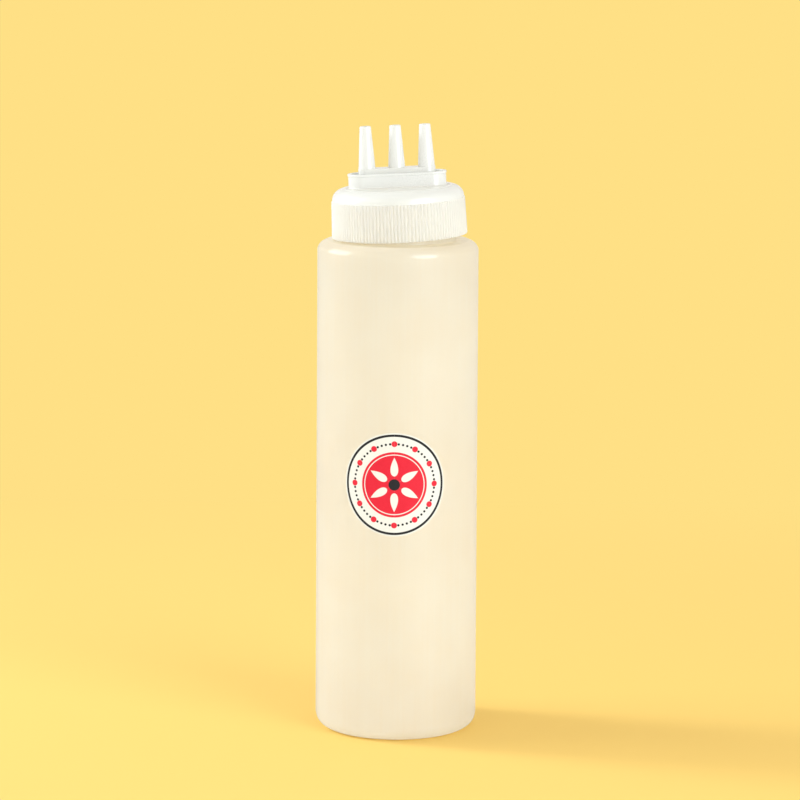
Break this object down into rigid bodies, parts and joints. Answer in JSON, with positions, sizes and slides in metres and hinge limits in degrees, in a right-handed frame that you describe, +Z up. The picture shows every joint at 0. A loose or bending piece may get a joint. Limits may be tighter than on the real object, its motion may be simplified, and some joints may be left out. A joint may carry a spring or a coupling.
{
  "type": "squeeze sauce bottle",
  "caption": "Tall round translucent squeeze bottle with a ribbed screw cap that carries open tapered nozzles in a row, and a round front label.",
  "frame": {"origin": "middle of the standing ring under the base", "axes": "+Z up along the bottle's axis, +X along the row of nozzles to the right as seen from the front, -Y towards the label"},
  "size_m": [0.069, 0.0688, 0.2594],
  "materials": {
    "bottle_plastic": "translucent soft plastic, satin gloss",
    "cap_plastic": "milky white plastic, soft gloss",
    "ring_rubber": "soft translucent seal",
    "label_paper": null
  },
  "bodies": {
    "bottle_body": {"bottle": "bottle_plastic", "label": "label_paper"},
    "ring_body": {"sealing_ring": "ring_rubber"},
    "cap_body": {"cap": "cap_plastic"}
  },
  "joints": [
    {"name": "cap_rise", "type": "slide", "parent": "bottle_body", "child": "ring_body", "axis": [-0.0489, 0, 0.9988], "range_m": [0, 0.0075]},
    {"name": "cap_turn", "type": "hinge", "parent": "ring_body", "child": "cap_body", "pos_m": [0, 0, 0.22641], "axis": [-0.0489, 0, 0.9988], "range_deg": [0, 540]}
  ],
  "couplings": [
    {"joint": "cap_rise", "follows": "cap_turn", "m_per_rad": 0.00079577}
  ]
}
